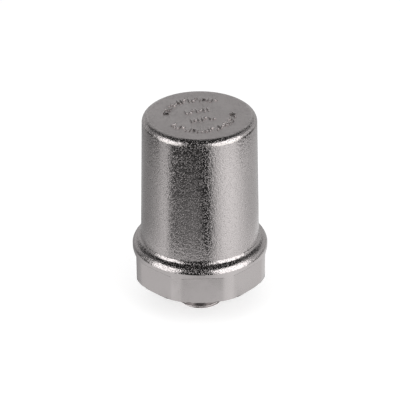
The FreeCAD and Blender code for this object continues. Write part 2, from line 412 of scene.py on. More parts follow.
@dataclass(frozen=True)
class Effects:
    """Shader node groups that several finishes share, each built once.

    Attributes:
        fine_roughness: Share of the fine grain's finer layers.
        lump_size: Size of the grain's coarse lumps, in fine grains.
        lump_height: Height of the coarse lumps, in fine grains.
        pit_levels: Height of the fine grain where a pit starts, and where it is full.
        pit_depth: Depth of a pit, in fine grains.
        speck_edge: Softness of a speck's edge, as a share of the specks' spacing.
    """

    fine_roughness: float = 0.55
    lump_size: float = 2.6
    lump_height: float = 1.1
    pit_levels: tuple[float, float] = (0.455, 0.385)
    pit_depth: float = 0.34
    speck_edge: float = 0.05

    def build(self) -> dict[str, NodeTree]:
        """Builds every group.

        Returns:
            The groups' trees by name.
        """
        return {
            "grain": self._group("forged_grain", ("Grain Size",), ("Height", "Pits"), self._grain),
            "specks": self._group("specks", ("Spacing", "Speck Size"), ("Specks",), self._specks),
            "rings": self._group("turned_rings", ("Feed",), ("Height",), self._rings),
        }

    @staticmethod
    def _group(
        name: str,
        inputs: Sequence[str],
        outputs: Sequence[str],
        fill: Callable[[NodeSketch, dict[str, Socket]], dict[str, Socket]],
    ) -> NodeTree:
        """Makes one node group.

        Args:
            name: Name of the group.
            inputs: Names of its number inputs, after a vector input named Vector.
            outputs: Names of its number outputs.
            fill: Adds the nodes, given the sketch and the group's inputs, and returns the
                result for each output.

        Returns:
            The group's tree.
        """
        tree = bpy.data.node_groups.new(name, "ShaderNodeTree")
        sockets = [("Vector", "INPUT", "NodeSocketVector")]
        sockets += [(socket, "INPUT", "NodeSocketFloat") for socket in inputs]
        sockets += [(socket, "OUTPUT", "NodeSocketFloat") for socket in outputs]
        for socket, in_out, socket_type in sockets:
            tree.interface.new_socket(socket, in_out=in_out, socket_type=socket_type)
        sketch = NodeSketch(tree)
        sketch.add("NodeGroupOutput", fill(sketch, sketch.add("NodeGroupInput").outputs))
        return tree

    def _grain(self, sketch: NodeSketch, given: dict[str, Socket]) -> dict[str, Socket]:
        """Pebbled skin of a blasted forging.

        Args:
            sketch: Sketch of the group's tree.
            given: The group's inputs.

        Returns:
            Its height, and a mask of its deeper pits.
        """
        place, size = given["Vector"], given["Grain Size"]
        fine = sketch.noise(place, size, 2.0, self.fine_roughness)
        lumps = sketch.noise(place, sketch.maths("MULTIPLY", size, self.lump_size), 1.0)
        pits = sketch.ramp(fine, *self.pit_levels)
        height = sketch.maths("SUBTRACT", fine, sketch.maths("MULTIPLY", pits, self.pit_depth))
        height = sketch.maths("MULTIPLY_ADD", lumps, self.lump_height, height)
        return {"Height": height, "Pits": pits}

    def _specks(self, sketch: NodeSketch, given: dict[str, Socket]) -> dict[str, Socket]:
        """Sparse small blemishes.

        Args:
            sketch: Sketch of the group's tree.
            given: The group's inputs.

        Returns:
            A mask that is 1 on each speck.
        """
        scale = sketch.maths("DIVIDE", 1.0, given["Spacing"])
        cells = sketch.add("TexVoronoi", {"Vector": given["Vector"], "Scale": scale})
        reach = sketch.maths("DIVIDE", given["Speck Size"], given["Spacing"])
        inside = sketch.maths("SUBTRACT", reach, cells.outputs["Distance"])
        return {"Specks": sketch.ramp(inside, 0.0, self.speck_edge)}

    def _rings(self, sketch: NodeSketch, given: dict[str, Socket]) -> dict[str, Socket]:
        """Fine rings that a turning tool leaves round the axis.

        Args:
            sketch: Sketch of the group's tree.
            given: The group's inputs.

        Returns:
            Their height.
        """
        parts = sketch.add("SeparateXYZ", {0: given["Vector"]}).outputs
        flat = sketch.add("CombineXYZ", {0: parts[0], 1: parts[1]}).outputs[0]
        place = sketch.add("CombineXYZ", {0: sketch.vector("LENGTH", flat), 1: parts[2]})
        return {"Height": sketch.noise(place.outputs[0], given["Feed"], 2.0)}


class Finish:
    """Base of every finish, with the steps that all of them take."""

    gloss_levels = (0.3, 0.7)

    @staticmethod
    def start(name: str) -> tuple[Material, NodeSketch, Socket]:
        """Makes a material.

        Args:
            name: Name of the material.

        Returns:
            The material, a sketch of its tree, and the object coordinates in it.
        """
        material = bpy.data.materials.new(name)
        material.use_nodes = True
        sketch = NodeSketch(material.node_tree)
        return material, sketch, sketch.add("TexCoord").outputs["Object"]

    @staticmethod
    def rings(
        sketch: NodeSketch, effects: dict[str, NodeTree], place: Socket, feed: float
    ) -> Socket:
        """Height of the turned rings at a spacing."""
        inputs = {"Vector": place, "Feed": feed}
        return sketch.add("Group", inputs, node_tree=effects["rings"]).outputs["Height"]

    @staticmethod
    def bump(
        sketch: NodeSketch, height: Socket, depth: float, base: Socket | None = None
    ) -> Socket:
        """Adds a bump.

        Args:
            sketch: Sketch of the material's tree.
            height: Height from 0 to 1.
            depth: What a height of 1 stands for, in metres.
            base: Normal of another bump under this one.

        Returns:
            The bumped normal.
        """
        inputs = {"Distance": depth, "Height": height} | ({"Normal": base} if base else {})
        return sketch.add("Bump", inputs).outputs[0]

    @staticmethod
    def end(sketch: NodeSketch, inputs: dict[str, object]) -> None:
        """Adds the Principled shader with its inputs, and the material's output."""
        shader = sketch.add("BsdfPrincipled", inputs)
        sketch.add("OutputMaterial", {"Surface": shader.outputs[0]})

    def gloss(self, sketch: NodeSketch, patches: Socket, roughness: tuple[float, float]) -> Socket:
        """Roughness that goes from its lowest to its highest with a noise."""
        return sketch.ramp(patches, *self.gloss_levels, *roughness)


@dataclass(frozen=True)
class ForgedPlating(Finish):
    """Satin plating over the blasted skin of a brass forging.

    Attributes:
        name: Name of the material.
        colour: Colour of the plating.
        pit_level: Brightness of the deeper pits beside it, as painted shade in the grain's hollows.
        pit_roughness: What the pits add to the roughness.
        grain_size: Size of the grain.
        grain_depth: Depth of the grain.
        patch_size: Size of the patches that differ in gloss.
        roughness: Lowest and highest roughness.
    """

    name: str = Band.FORGED.value
    colour: Colour = (0.575, 0.54, 0.536)
    pit_level: float = 0.96
    pit_roughness: float = 0.16
    grain_size: float = 0.62 * MM
    grain_depth: float = 0.07 * MM
    patch_size: float = 7 * MM
    roughness: tuple[float, float] = (0.12, 0.15)

    def material(self, effects: dict[str, NodeTree]) -> Material:
        """Builds the material.

        Args:
            effects: Shared node groups by name.

        Returns:
            The new material.
        """
        material, sketch, place = self.start(self.name)
        inputs = {"Vector": place, "Grain Size": self.grain_size}
        grain = sketch.add("Group", inputs, node_tree=effects["grain"]).outputs
        gloss = self.gloss(sketch, sketch.noise(place, self.patch_size), self.roughness)
        dull = sketch.maths("MULTIPLY", grain["Pits"], self.pit_roughness)
        # The pits' darker colour is painted shade in the grain's hollows.
        darker = rgba(self.colour, self.pit_level)
        self.end(sketch, {
            "Base Color": sketch.between(grain["Pits"], rgba(self.colour), darker),
            "Metallic": 1.0,
            "Roughness": sketch.maths("ADD", gloss, dull),
            "Normal": self.bump(sketch, grain["Height"], self.grain_depth),
        })
        return material


@dataclass(frozen=True)
class MachinedPlating(Finish):
    """Semi-gloss plating over turned or planed brass, with faint tool marks and specks.

    Attributes:
        name: Name of the material.
        colour: Colour of the plating.
        roughness: Lowest and highest roughness.
        feed: Spacing of the tool marks.
        mark_depth: Depth of the tool marks.
        speck_spacing: Distance between the specks.
        speck_size: Size of a speck.
        speck_level: Brightness of a speck beside the plating.
        patch_size: Size of the patches that differ in gloss.
    """

    name: str = Band.TURNED.value
    colour: Colour = (0.55, 0.518, 0.514)
    roughness: tuple[float, float] = (0.16, 0.28)
    feed: float = 0.3 * MM
    mark_depth: float = 0.003 * MM
    speck_spacing: float = 6.5 * MM
    speck_size: float = 0.22 * MM
    speck_level: float = 0.6
    patch_size: float = 6 * MM

    def material(self, effects: dict[str, NodeTree]) -> Material:
        """Builds the material.

        Args:
            effects: Shared node groups by name.

        Returns:
            The new material.
        """
        material, sketch, place = self.start(self.name)
        rings = self.rings(sketch, effects, place, self.feed)
        inputs = {"Vector": place, "Spacing": self.speck_spacing, "Speck Size": self.speck_size}
        specks = sketch.add("Group", inputs, node_tree=effects["specks"]).outputs
        patches = sketch.noise(place, self.patch_size, 3.0)
        darker = rgba(self.colour, self.speck_level)
        self.end(sketch, {
            "Base Color": sketch.between(specks["Specks"], rgba(self.colour), darker),
            "Metallic": 1.0,
            "Roughness": self.gloss(sketch, patches, self.roughness),
            "Normal": self.bump(sketch, rings, self.mark_depth),
        })
        return material


@dataclass(frozen=True)
class Moulded(Finish):
    """Rubber or plastic with a fine skin, mould lines round the axis and cloudy patches.

    Attributes:
        name: Name of the material.
        colour: Main colour.
        cloud_level: Brightness of the cloudy patches beside it.
        roughness: Lowest and highest roughness.
        skin_size: Size of the fine skin's texture.
        skin_depth: Depth of the fine skin's texture.
        cloud_size: Size of the patches.
        cloud_levels: Noise where a patch starts, and where it is full.
    """

    name: str
    colour: Colour
    cloud_level: float
    roughness: tuple[float, float]
    skin_size: float = 0.15 * MM
    skin_depth: float = 0.01 * MM
    cloud_size: float = 4 * MM
    cloud_levels: tuple[float, float] = (0.35, 0.7)

    def material(self, effects: dict[str, NodeTree]) -> Material:
        """Builds the material.

        Args:
            effects: Shared node groups by name.

        Returns:
            The new material.
        """
        material, sketch, place = self.start(self.name)
        rings = self.rings(sketch, effects, place, self.skin_size)
        clouds = sketch.noise(place, self.cloud_size, 4.0)
        skin = self.bump(sketch, sketch.noise(place, self.skin_size), self.skin_depth)
        share = sketch.ramp(clouds, *self.cloud_levels)
        cloudy = rgba(self.colour, self.cloud_level)
        self.end(sketch, {
            "Base Color": sketch.between(share, rgba(self.colour), cloudy),
            "Roughness": self.gloss(sketch, clouds, self.roughness),
            "Normal": self.bump(sketch, rings, self.skin_depth, skin),
        })
        return material


@dataclass(frozen=True)
class DrawnSteel(Finish):
    """Oiled steel wire or strip with fine drawing lines, darker in patches.

    Attributes:
        name: Name of the material.
        colour: Colour of the steel.
        scale_colour: Colour of the darker patches.
        roughness: Lowest and highest roughness.
        line_size: Spacing of the drawing lines.
        line_depth: Depth of the drawing lines.
        patch_size: Size of the darker patches.
        patch_levels: Noise where a patch starts, and where it is full.
    """

    name: str
    colour: Colour
    scale_colour: Colour
    roughness: tuple[float, float]
    line_size: float = 0.2 * MM
    line_depth: float = 0.006 * MM
    patch_size: float = 5 * MM
    patch_levels: tuple[float, float] = (0.42, 0.62)

    def material(self, effects: dict[str, NodeTree]) -> Material:
        """Builds the material.

        Args:
            effects: Shared node groups by name.

        Returns:
            The new material.
        """
        material, sketch, place = self.start(self.name)
        rings = self.rings(sketch, effects, place, self.line_size)
        patches = sketch.noise(place, self.patch_size, 5.0, 0.6)
        share = sketch.ramp(patches, *self.patch_levels)
        self.end(sketch, {
            "Base Color": sketch.between(share, rgba(self.colour), rgba(self.scale_colour)),
            "Metallic": 1.0,
            "Roughness": self.gloss(sketch, patches, self.roughness),
            "Normal": self.bump(sketch, rings, self.line_depth),
        })
        return material


def make_finishes() -> Finishes:
    """Makes every material once.

    Returns:
        The materials by name.
    """
    effects = Effects().build()
    finishes = (
        ForgedPlating(),
        # The crown's pits get less painted shade.
        ForgedPlating(Band.CROWN.value, pit_level=0.985, pit_roughness=0.03, roughness=(0.3, 0.36)),
        ForgedPlating(Band.EDGE.value, grain_depth=0.1 * MM),
        MachinedPlating(),
        MachinedPlating(Band.FLATS.value, (0.54, 0.508, 0.504)),
        # The run-out's dark colour is painted shade under the land's edge.
        MachinedPlating(Band.RUNOUT_SHADE.value, (0.2, 0.188, 0.186), (0.3, 0.4)),
        MachinedPlating(Band.BORED.value, (0.5, 0.475, 0.45), (0.22, 0.34)),
        Moulded("seal_rubber", (0.022, 0.022, 0.023), 1.7, (0.42, 0.6)),
        Moulded("piston_plastic", (0.82, 0.81, 0.77), 0.95, (0.32, 0.45)),
        Moulded("guide_band", (0.1, 0.095, 0.085), 1.25, (0.4, 0.55)),
        DrawnSteel("spring_steel", (0.5, 0.5, 0.51), (0.3, 0.29, 0.28), (0.22, 0.4)),
        DrawnSteel("pressed_steel", (0.6, 0.6, 0.6), (0.5, 0.49, 0.47), (0.2, 0.35)),
    )
    return {finish.name: finish.material(effects) for finish in finishes}


@dataclass(frozen=True)
class Ring:
    """One ring of the grey card on the floor, which glows with a painted brightness that the metal
    mirrors.

    Attributes:
        start: Distance from the axis where it starts to take over from the ring inside it.
        full: Distance from the axis where it has taken over.
        levels: Its brightness at some turns, from -180 to 180.
    """

    start: float
    full: float
    levels: Levels


@dataclass(frozen=True)
class Softbox:
    """Rectangular soft light that faces the object.

    Attributes:
        name: Name of the light.
        turn_deg: Its turn from the camera.
        width: Its width.
        height: Its height.
        elevation_deg: How high above the horizon it stands.
        distance: Its distance from the object.
        level: Its brightness, where 1 is white.
    """

    name: str
    turn_deg: float
    width: float
    height: float = 0.4
    elevation_deg: float = 19.5
    distance: float = 0.42
    level: float = 1.8


@dataclass(frozen=True)
class Studio:
    """Pale floor, soft side lights and the camera of the photograph.

    A turn is an angle about the axis to the right of the camera, seen from the camera. Where
    heights over the horizon are given, they are sines.

    Attributes:
        aim_height: Height on the axis that the camera looks at.
        distance: Camera's distance from that point.
        elevation_deg: Camera's height above the horizon.
        direction_deg: Camera's direction about the axis, from +X.
        roll_deg: How far the camera leans to its right.
        lens_mm: Focal length.
        sensor_mm: Width of the sensor.
        shift_x: Sideways shift of the frame.
        softboxes: The soft lights.
        floor_size: Width of the floor.
        floor_colour: Colour of the floor.
        floor_glow: What is added to the floor so that it is seen as white.
        card_reach: Nearest and furthest distance of the grey card on the floor from the axis.
        card_lift: Height of the card over the floor.
        card_focus: How far in front of the axis the turns on the card are measured, which is
            where the wall's mirror image shrinks the surroundings to.
        contact_shadow_levels: Brightness of the card under the object: a painted shadow of the
            object in front of the spigot, and pale floor beside it.
        contact_side: Distance to either side where the one gives way to the other.
        contact_end: Distances from the axis where the side's brightness ends.
        card_rings: Rings of the card, from the inside out: painted reflections of the lit floor,
            the first dimmed as painted shade near the object.
        room_levels: Brightness of the room round the object, as the metal mirrors it.
        upper_reach: Heights where that brightness changes to the upper room's.
        upper_levels: Brightness of the upper room.
        overhead_reach: Heights where the upper room starts and where it is all there.
        dim_level: Brightness of the room's darkest part and of what is overhead.
        soft_level: Brightness of the room as a light.
    """

    aim_height: float = 48.26 * MM
    distance: float = 931.4 * MM
    elevation_deg: float = 29.73
    direction_deg: float = -92.22
    roll_deg: float = 0.28
    lens_mm: float = 197.24
    sensor_mm: float = 36.0
    shift_x: float = 0.0004
    softboxes: tuple[Softbox, ...] = (
        Softbox("right_softbox", 54, 0.46),
        Softbox("left_softbox", -59, 0.34),
    )
    floor_size: float = 6.0
    floor_colour: Colour = (0.8, 0.8, 0.8)
    floor_glow: float = 0.5
    card_reach: tuple[float, float] = (12 * MM, 2.9)
    card_lift: float = 0.3 * MM
    card_focus: float = 13 * MM
    contact_shadow_levels: tuple[float, float] = (0.12, 0.9)
    contact_side: tuple[float, float] = (3.5 * MM, 6 * MM)
    contact_end: tuple[float, float] = (24 * MM, 18 * MM)
    card_rings: tuple[Ring, ...] = (
        Ring(38 * MM, 42 * MM, (
            (-180, 0.3), (-130, 0.34), (-108, 0.56), (-94, 0.73), (-70, 0.76), (-48, 0.86),
            (-36, 0.84), (-26, 0.74), (4, 0.71), (34, 0.85), (50, 0.98), (75, 0.86), (94, 0.82),
            (180, 0.8),
        )),
        Ring(75 * MM, 90 * MM, (
            (-180, 0.55), (-150, 0.42), (-130, 0.3), (-117, 0.31), (-106, 0.34), (-97, 0.41),
            (-89, 0.49), (-81, 0.6), (-72, 0.72), (-63, 0.76), (-61, 0.12), (-48, 0.14),
            (-8, 0.2), (3, 0.09), (8, 0.01), (20, 0.0), (24, 0.38), (28, 0.46), (34, 0.68),
            (46, 0.96), (56, 1.05), (68, 1.03), (80, 0.91), (92, 0.72), (106, 0.59), (126, 0.56),
            (142, 0.6), (180, 0.5),
        )),
        Ring(146 * MM, 174 * MM, (
            (-180, 0.3), (-106, 0.28), (-89, 0.41), (-72, 0.6), (-63, 0.62), (-61, 0.05),
            (-10, 0.05), (19, 0.01), (23, 0.32), (34, 0.68), (46, 1.02), (60, 1.18), (80, 1.0),
            (126, 0.56), (180, 0.45),
        )),
        Ring(184 * MM, 204 * MM, (
            (-180, 0.5), (-130, 0.42), (-114, 0.02), (-86, 0.02), (-76, 0.5), (-63, 0.5),
            (-61, 0.02), (17, 0.02), (24, 0.5), (42, 0.75), (72, 0.75), (84, 0.02), (114, 0.02),
            (130, 0.45), (180, 0.5),
        )),
    )
    room_levels: Levels = (
        (-180, 0.54), (-132, 0.5), (-112, 0.2), (-98, 0.26), (-88, 0.28), (-78, 0.12),
        (-55, 0.0), (60, 0.0), (74, 0.2), (86, 0.58), (98, 0.6), (114, 0.5), (180, 0.54),
    )
    upper_reach: tuple[float, float] = (0.3, 0.48)
    upper_levels: Levels = (
        (-180, 0.54), (-160, 0.5), (-142, 0.1), (-124, 0.02), (-110, 0.24), (-86, 0.2),
        (-70, 0.0), (8, 0.0), (24, 0.24), (84, 0.28), (110, 0.42), (124, 0.02), (142, 0.1),
        (160, 0.5), (180, 0.54),
    )
    overhead_reach: tuple[float, float] = (0.9, 0.62)
    dim_level: float = 0.02
    soft_level: float = 0.55

    def build(self) -> None:
        """Makes the camera, the floor, the card, the lights and the world."""
        self._camera()
        self._floor()
        self._card()
        for softbox in self.softboxes:
            self._light(softbox)
        self._world()
        bpy.context.scene.view_settings.view_transform = "Standard"

    def _direction(self, turn_deg: float, elevation_deg: float = 0.0) -> Vector:
        """Direction from the object.

        Args:
            turn_deg: Its turn from the camera.
            elevation_deg: Its height above the horizon.

        Returns:
            The direction, one metre long.
        """
        azimuth = math.radians(self.direction_deg + turn_deg)
        elevation = math.radians(elevation_deg)
        flat = math.cos(elevation)
        return Vector((math.cos(azimuth) * flat, math.sin(azimuth) * flat, math.sin(elevation)))

    def _camera(self) -> None:
        """Camera at the photograph's viewing angle."""
        clear_selection()
        back = self._direction(0, self.elevation_deg)
        target = Vector((0, 0, self.aim_height))
        bpy.ops.object.camera_add(location=target + back * self.distance)
        camera = bpy.context.object
        camera.name = "camera"
        lean = Quaternion((0, 0, 1), -math.radians(self.roll_deg))
        camera.rotation_euler = ((-back).to_track_quat("-Z", "Y") @ lean).to_euler()
        camera.data.lens = self.lens_mm
        camera.data.sensor_width = self.sensor_mm
        camera.data.shift_x = self.shift_x
        camera.data.clip_start = 0.01
        bpy.context.scene.camera = camera

    def _floor(self) -> None:
        """Pale floor that keeps the object's shadow and is otherwise seen as about white."""
        clear_selection()
        bpy.ops.mesh.primitive_plane_add(size=self.floor_size)
        floor = bpy.context.object
        floor.name = "floor"
        material, sketch, _ = Finish.start("floor")
        path = sketch.add("LightPath").outputs
        seen = sketch.maths("MAXIMUM", path["Is Camera Ray"], path["Is Glossy Ray"])
        seen = sketch.maths("MAXIMUM", seen, path["Is Transmission Ray"])
        Finish.end(sketch, {
            "Base Color": rgba(self.floor_colour),
            "Roughness": 0.9,
            "Specular IOR Level": 0.0,
            "Emission Color": rgba(WHITE),
            "Emission Strength": sketch.maths("MULTIPLY", seen, self.floor_glow),
        })
        floor.data.materials.append(material)

    def _card(self) -> None:
        """Glowing grey card on the floor round the object, which only the metal's mirror image
        shows. Its brightness is a painted reflection of the floor, with painted shade near the
        object.
        """
        near, far = self.card_reach
        clear_selection()
        bpy.ops.mesh.primitive_plane_add(size=MM, location=(near, 0, self.card_lift))
        card = bpy.context.object
        card.name = "mirror_card"
        bpy.ops.object.mode_set(mode="EDIT")
        bpy.ops.mesh.merge(type="CENTER")
        bpy.ops.mesh.extrude_region_move(TRANSFORM_OT_translate={"value": (far - near, 0, 0)})
        bpy.ops.mesh.select_all(action="SELECT")
        bpy.ops.mesh.spin(steps=64, angle=math.tau, center=(0, 0, 0), axis=(0, 0, 1))
        place_in_mesh(card)
        card.visible_camera = card.visible_diffuse = card.visible_shadow = False
        material, sketch, place = Finish.start("mirror_card")
        share, aside = self._turn(sketch, place, self.card_focus)
        reach = sketch.vector("LENGTH", place)
        # The card is darker in front of the spigot: a painted shadow of the object that the metal
        # mirrors.
        aside = sketch.ramp(sketch.maths("ABSOLUTE", aside), *self.contact_side)
        beside = sketch.maths("MULTIPLY", aside, sketch.ramp(reach, *self.contact_end))
        front, side = (rgba(WHITE, level) for level in self.contact_shadow_levels)
        shade = sketch.between(beside, front, side)
        # Each ring glows with a painted brightness by turn, standing in for the lit and shaded
        # floor.
        for ring in self.card_rings:
            grey = self._by_turn(sketch, share, ring.levels)
            shade = sketch.between(sketch.ramp(reach, ring.start, ring.full), shade, grey)
        glow = sketch.add("Emission", {"Color": shade})
        sketch.add("OutputMaterial", {"Surface": glow.outputs[0]})
        card.data.materials.append(material)

    def _turn(self, sketch: NodeSketch, place: Socket, focus: float = 0.0) -> tuple[Socket, Socket]:
        """Finds where a place is, as seen from above.

        Args:
            sketch: Sketch of the tree.
            place: The place or direction.
            focus: How far in front of the axis its turn is measured.

        Returns:
            Its turn, as a share from 0 at -180 degrees to 1 at 180 degrees, and its distance
            to the right of the axis.
        """
        ahead, right = (
            sketch.vector("DOT_PRODUCT", place, self._direction(turn_deg)) for turn_deg in (0, 90)
        )
        if focus:
            ahead = sketch.maths("SUBTRACT", ahead, focus)
        turn = sketch.maths("ARCTAN2", right, ahead)
        return sketch.maths("MULTIPLY_ADD", turn, 1 / math.tau, 0.5), right

    @staticmethod
    def _by_turn(sketch: NodeSketch, share: Socket, levels: Levels) -> Socket:
        """Grey that follows the turn.

        Args:
            sketch: Sketch of the tree.
            share: The turn, as a share from 0 at -180 degrees to 1 at 180 degrees.
            levels: Turns in degrees with the grey's brightness there.

        Returns:
            The grey.
        """
        ramp = sketch.add("ValToRGB", {0: share})
        stops = ramp.color_ramp.elements
        for number, (stop_deg, level) in enumerate(levels):
            position = stop_deg / 360 + 0.5
            stop = stops[number] if number < 2 else stops.new(position)
            stop.position = position
            stop.color = rgba(WHITE, level)
        return ramp.outputs[0]

    def _light(self, softbox: Softbox) -> None:
        """Adds one soft light, which the camera doesn't see.

        Args:
            softbox: Its place, size and brightness.
        """
        clear_selection()
        out = self._direction(softbox.turn_deg, softbox.elevation_deg)
        target = Vector((0, 0, self.aim_height))
        bpy.ops.object.light_add(type="AREA", location=target + out * softbox.distance)
        light = bpy.context.object
        light.name = softbox.name
        light.data.shape = "RECTANGLE"
        light.data.size = softbox.width
        light.data.size_y = softbox.height
        light.data.energy = softbox.level * math.pi * softbox.width * softbox.height
        light.rotation_euler = (-out).to_track_quat("-Z", "Y").to_euler()
        light.visible_camera = False

    def _world(self) -> None:
        """White to the camera, even as a light, and a room with a dark front to the metal."""
        world = bpy.data.worlds.new("studio")
        world.use_nodes = True
        bpy.context.scene.world = world
        sketch = NodeSketch(world.node_tree)
        place = sketch.add("TexCoord").outputs["Generated"]
        share, _ = self._turn(sketch, place)
        height = sketch.add("SeparateXYZ", {0: place}).outputs[2]
        lower = self._by_turn(sketch, share, self.room_levels)
        upper = self._by_turn(sketch, share, self.upper_levels)
        levels = sketch.between(sketch.ramp(height, *self.upper_reach), lower, upper)
        room = sketch.maths("MULTIPLY", levels, sketch.ramp(height, *self.overhead_reach))
        room = sketch.maths("MAXIMUM", room, self.dim_level)
        path = sketch.add("LightPath").outputs
        level = sketch.add("Mix", {0: path["Is Diffuse Ray"], 2: room, 3: self.soft_level})
        level = sketch.add("Mix", {0: path["Is Camera Ray"], 2: level.outputs[0], 3: 1.0})
        light = sketch.add("Background", {"Color": rgba(WHITE), "Strength": level.outputs[0]})
        sketch.add("OutputWorld", {"Surface": light.outputs[0]})


@dataclass
class TopMarks:
    """Plain raised bars, dashes and pips on the top of the bell, forged with it.

    Attributes:
        ring_r: Radius of the ring that the marks stand on.
        ring_arcs_deg: Start and end of each arc of that ring, from +X.
        pitch: Distance between two marks.
        height: Length of a bar, which points at the axis.
        width: Length of a dash, which lies across it.
        stroke: Width of a bar.
        pip_r: Radius of a pip.
        edge_round: Radius of a mark's edges.
        rise: How far the marks stand out of the top.
        root: How far they reach down into it.
        row_offsets: Distance of each short row from the axis.
        row_marks: Number of marks in a row.
        row_turn_deg: How far the rows are turned from +X.
        kinds: Kinds of the marks, in turn.
        lifts: How far each of those is moved up or down, in lengths of a bar.
        row_steps: How many kinds the first row skips, and each row after it.
    """

    ring_r: float = 13.9 * MM
    ring_arcs_deg: tuple[tuple[float, float], ...] = ((173.0, 60.0), (-142.0, 5.0))
    pitch: float = 1.6 * MM
    height: float = 2.9 * MM
    width: float = 1.5 * MM
    stroke: float = 0.72 * MM
    pip_r: float = 0.576 * MM
    edge_round: float = 0.26 * MM
    rise: float = 0.64 * MM
    root: float = 0.3 * MM
    row_offsets: tuple[float, float] = (3.5 * MM, -4.4 * MM)
    row_marks: int = 7
    row_turn_deg: float = 15.5
    kinds: tuple[Mark, ...] = (
        Mark.BAR, Mark.DASH, Mark.BAR, Mark.DASH, Mark.PIP, Mark.BAR, Mark.DASH, Mark.BAR
    )
    lifts: tuple[float, ...] = (0.0, 0.36, 0.0, -0.3, 0.33, 0.0, 0.0, 0.0)
    row_steps: tuple[int, int] = (2, 3)

    def _blank(self, mark: Mark) -> Piece:
        """Makes one mark at the origin, with rounded edges.

        Args:
            mark: Its kind. A bar lies along Y and a dash along X.

        Returns:
            The new mesh object.
        """
        clear_selection()
        tall = self.rise + self.root
        if mark is Mark.PIP:
            bpy.ops.mesh.primitive_cylinder_add(vertices=20, radius=self.pip_r, depth=tall)
        else:
            bar = (self.stroke, self.height, tall)
            dash = (self.width, self.stroke, tall)
            bpy.ops.mesh.primitive_cube_add(size=1, scale=bar if mark is Mark.BAR else dash)
        blank = bpy.context.object
        blank.name = mark.value
        place_in_mesh(blank)
        apply_modifier(blank, "BEVEL", width=self.edge_round, segments=4, limit_method="ANGLE")
        return blank

    def _spots(self) -> list[tuple[Mark, float, float, float]]:
        """Spreads the marks over the arcs and the rows.

        Returns:
            Kind, X, Y and turn of every mark.
        """
        spots = []
        for start, end in self.ring_arcs_deg:
            count = round(abs(math.radians(end - start)) * self.ring_r / self.pitch)
            for number in range(count + 1):
                angle = math.radians(start + (end - start) * number / count)
                step = number % len(self.kinds)
                radius = self.ring_r + self.height * self.lifts[step]
                x, y = radius * math.cos(angle), radius * math.sin(angle)
                spots.append((self.kinds[step], x, y, angle - math.pi / 2))
        turn = math.radians(self.row_turn_deg)
        first_step, next_step = self.row_steps
        for row, offset in enumerate(self.row_offsets):
            for number in range(self.row_marks):
                along = (number - (self.row_marks - 1) / 2) * self.pitch
                step = (number + next_step * row + first_step) % len(self.kinds)
                across = offset + self.height * self.lifts[step]
                x = along * math.cos(turn) - across * math.sin(turn)
                y = along * math.sin(turn) + across * math.cos(turn)
                spots.append((self.kinds[step], x, y, turn))
        return spots

    def add_to(self, bell: Piece, top_z: float) -> None:
        """Stands the marks on the top of the bell and joins them to it.

        Args:
            bell: The bell's mesh object.
            top_z: Height of its top.
        """
        blanks = {mark: self._blank(mark) for mark in Mark}
        middle_z = top_z + (self.rise - self.root) / 2
        copies = []
        for mark, x, y, turn in self._spots():
            make_active(blanks[mark])
            bpy.ops.object.duplicate(linked=False)
            copy = bpy.context.object
            copy.location = (x, y, middle_z)
            copy.rotation_euler.z = turn
            copies.append(copy)
        for blank in blanks.values():
            bpy.data.objects.remove(blank)
        clear_selection()
        for copy in copies:
            copy.select_set(True)
        bpy.context.view_layer.objects.active = copies[0]
        bpy.ops.object.transform_apply(location=True, rotation=True, scale=True)
        bpy.ops.object.shade_smooth_by_angle(angle=math.radians(50))
        bell.select_set(True)
        bpy.context.view_layer.objects.active = bell
        bpy.ops.object.join()
        log.info("raised marks on the bell: %d", len(copies))


